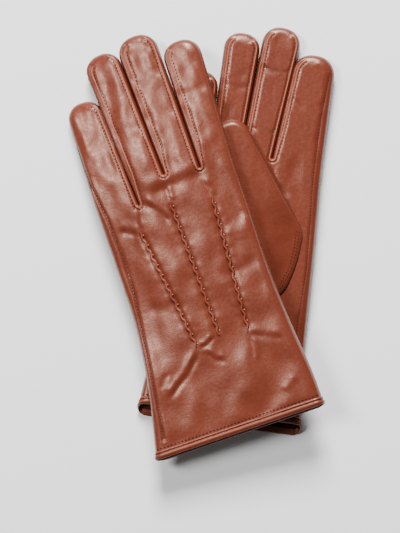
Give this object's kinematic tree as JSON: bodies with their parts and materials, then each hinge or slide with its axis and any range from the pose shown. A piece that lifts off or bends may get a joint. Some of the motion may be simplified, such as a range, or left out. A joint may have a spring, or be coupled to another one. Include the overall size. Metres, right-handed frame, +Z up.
{
  "type": "pair of touchscreen gloves",
  "caption": "Pair of lined leather gloves with conductive fingertips, bound cuffs and sewn ridges on the back: one lies palm up, the other is crossed over it.",
  "frame": {"origin": "centre of the pair's footprint, on the surface it lies on", "axes": "+Z up from the surface, +Y along the pair towards the fingertips, +X to the right seen from above with the fingertips away"},
  "size_m": [0.1646, 0.269, 0.0347],
  "materials": {
    "leather": "smooth full-grain leather with a soft sheen",
    "side_leather": "smooth full-grain leather, a little darker",
    "binding_leather": "smooth leather, rolled and pressed",
    "thread": "waxed polyester thread",
    "lining": "brushed knit",
    "touch_fabric": "conductive knitted patch",
    "label": "woven satin, blank"
  },
  "bodies": {
    "right_hand": {"right_back_panel": "leather", "right_palm_panel": "leather", "right_fourchette_roots": "side_leather", "right_hand_lining": "lining", "right_cuff_binding": "binding_leather", "right_point_tucks": "binding_leather", "right_point_stitches": "thread", "right_care_label": "label", "right_thumb_leather": "leather", "right_thumb_lining": "lining", "right_thumb_touch_pad": "touch_fabric", "right_little_back_leaf": "leather", "right_little_palm_leaf": "leather", "right_little_fourchettes": "side_leather", "right_little_lining": "lining"},
    "right_index": {"right_index_back_leaf": "leather", "right_index_palm_leaf": "leather", "right_index_fourchettes": "side_leather", "right_index_lining": "lining", "right_index_touch_pad": "touch_fabric"},
    "right_middle": {"right_middle_back_leaf": "leather", "right_middle_palm_leaf": "leather", "right_middle_fourchettes": "side_leather", "right_middle_lining": "lining"},
    "right_ring": {"right_ring_back_leaf": "leather", "right_ring_palm_leaf": "leather", "right_ring_fourchettes": "side_leather", "right_ring_lining": "lining"},
    "left_hand": {"left_back_panel": "leather", "left_palm_panel": "leather", "left_fourchette_roots": "side_leather", "left_hand_lining": "lining", "left_cuff_binding": "binding_leather", "left_point_tucks": "binding_leather", "left_point_stitches": "thread", "left_care_label": "label", "left_thumb_leather": "leather", "left_thumb_lining": "lining", "left_thumb_touch_pad": "touch_fabric"},
    "left_index": {"left_index_back_leaf": "leather", "left_index_palm_leaf": "leather", "left_index_fourchettes": "side_leather", "left_index_lining": "lining", "left_index_touch_pad": "touch_fabric"},
    "left_middle": {"left_middle_back_leaf": "leather", "left_middle_palm_leaf": "leather", "left_middle_fourchettes": "side_leather", "left_middle_lining": "lining"},
    "left_ring": {"left_ring_back_leaf": "leather", "left_ring_palm_leaf": "leather", "left_ring_fourchettes": "side_leather", "left_ring_lining": "lining"},
    "left_little": {"left_little_back_leaf": "leather", "left_little_palm_leaf": "leather", "left_little_fourchettes": "side_leather", "left_little_lining": "lining"}
  },
  "joints": [
    {"name": "left_glove_lift", "type": "slide", "parent": "right_hand", "child": "left_hand", "axis": [0, 0, 1], "range_m": [0, 0.12]},
    {"name": "left_index_fold", "type": "hinge", "parent": "left_hand", "child": "left_index", "pos_m": [0.0061, 0.06013, 0.02581], "axis": [0.9637, 0.2492, 0.0958], "range_deg": [0, 60]},
    {"name": "left_middle_fold", "type": "hinge", "parent": "left_hand", "child": "left_middle", "pos_m": [-0.01519, 0.05462, 0.02369], "axis": [0.9637, 0.2492, 0.0958], "range_deg": [0, 60]},
    {"name": "left_ring_fold", "type": "hinge", "parent": "left_hand", "child": "left_ring", "pos_m": [-0.03646, 0.04912, 0.02157], "axis": [0.9637, 0.2492, 0.0958], "range_deg": [0, 60]},
    {"name": "left_little_fold", "type": "hinge", "parent": "left_hand", "child": "left_little", "pos_m": [-0.05533, 0.02926, 0.01934], "axis": [0.9637, 0.2492, 0.0958], "range_deg": [0, 60]},
    {"name": "right_index_fold", "type": "hinge", "parent": "right_hand", "child": "right_index", "pos_m": [0.06234, 0.05911, 0.0055], "axis": [0.9871, -0.1599, 0], "range_deg": [0, 65]},
    {"name": "right_middle_fold", "type": "hinge", "parent": "right_hand", "child": "right_middle", "pos_m": [0.04064, 0.08187, 0.0055], "axis": [0.9871, -0.1599, 0], "range_deg": [0, 65]},
    {"name": "right_ring_fold", "type": "hinge", "parent": "right_hand", "child": "right_ring", "pos_m": [0.01994, 0.08522, 0.0055], "axis": [0.9871, -0.1599, 0], "range_deg": [0, 65]}
  ]
}
